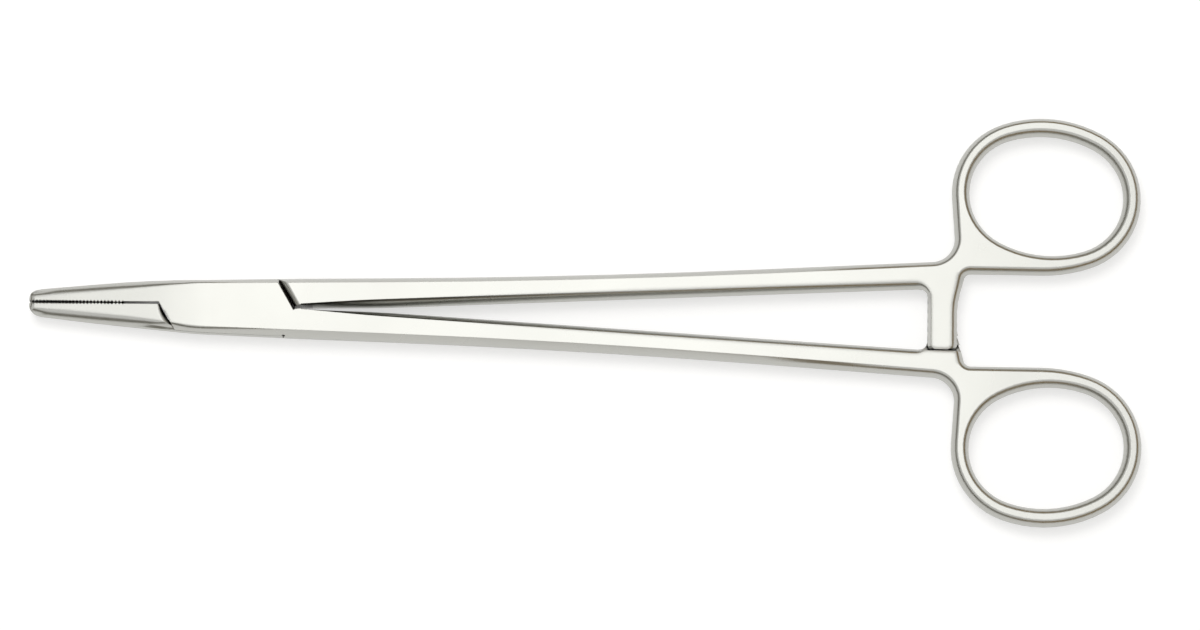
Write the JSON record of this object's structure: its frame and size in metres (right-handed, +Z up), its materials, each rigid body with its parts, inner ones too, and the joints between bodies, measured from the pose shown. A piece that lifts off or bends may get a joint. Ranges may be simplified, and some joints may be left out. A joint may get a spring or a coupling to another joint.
{
  "type": "surgical needle holder",
  "caption": "Stainless steel surgical needle holder with a box lock, short serrated jaws, long straight shanks, oval finger rings and a ratchet catch.",
  "frame": {"origin": "on the pivot pin's axis, on the underside of the box lock", "axes": "+X from the pivot towards the finger rings, +Y towards the ring of the male half, +Z up through the flat sides"},
  "size_m": [0.2001, 0.0746, 0.0058],
  "materials": {
    "forged_steel": "satin ground stainless steel",
    "pin_steel": "stainless steel, riveted and ground flush"
  },
  "bodies": {
    "base": {"female_half": "forged_steel", "pivot_pin": "pin_steel"},
    "male": {"male_half": "forged_steel"}
  },
  "joints": [
    {"name": "pivot", "type": "hinge", "parent": "base", "child": "male", "pos_m": [0, 0, 0.0029], "axis": [0, 0, 1], "range_deg": [0, 45]}
  ]
}
